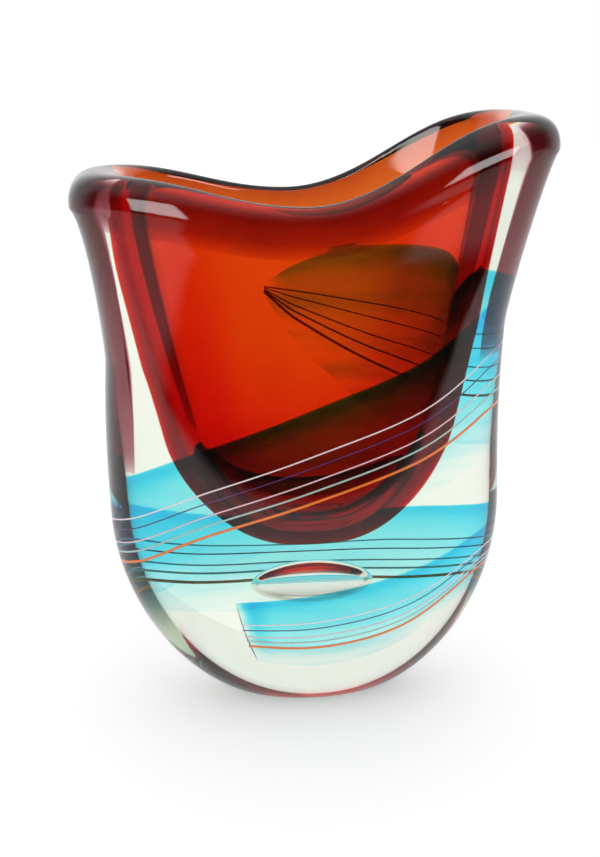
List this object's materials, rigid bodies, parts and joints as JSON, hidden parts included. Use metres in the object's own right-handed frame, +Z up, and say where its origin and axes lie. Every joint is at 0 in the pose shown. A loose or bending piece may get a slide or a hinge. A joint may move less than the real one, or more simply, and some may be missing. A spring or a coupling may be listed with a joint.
{
  "type": "art glass vase",
  "caption": "Flattened art glass vase with a flared, dipping lip, a ruby cup cased in thick clear glass, a trapped air bubble and a wound blue ribbon with thin glass threads.",
  "frame": {"origin": "centre of the polished foot, on the table", "axes": "+Z up, +X towards the taller lobe of the lip, +Y towards the back, -Y towards the viewer"},
  "size_m": [0.235, 0.104, 0.296],
  "materials": {
    "ruby_cup": "polished",
    "inner_gather": "polished",
    "middle_gather": "polished",
    "outer_gather": "polished",
    "blue_ribbon": "polished",
    "white_thread": "polished",
    "violet_thread": "polished",
    "pink_thread": "polished",
    "grey_thread": "polished",
    "orange_thread": "polished"
  },
  "bodies": {
    "vase": {"ruby_cup": "ruby_cup", "inner_gather": "inner_gather", "middle_gather": "middle_gather", "outer_gather": "outer_gather", "blue_ribbon": "blue_ribbon", "white_thread": "white_thread", "violet_thread": "violet_thread", "pink_thread": "pink_thread", "grey_thread": "grey_thread", "orange_thread": "orange_thread"}
  },
  "joints": []
}
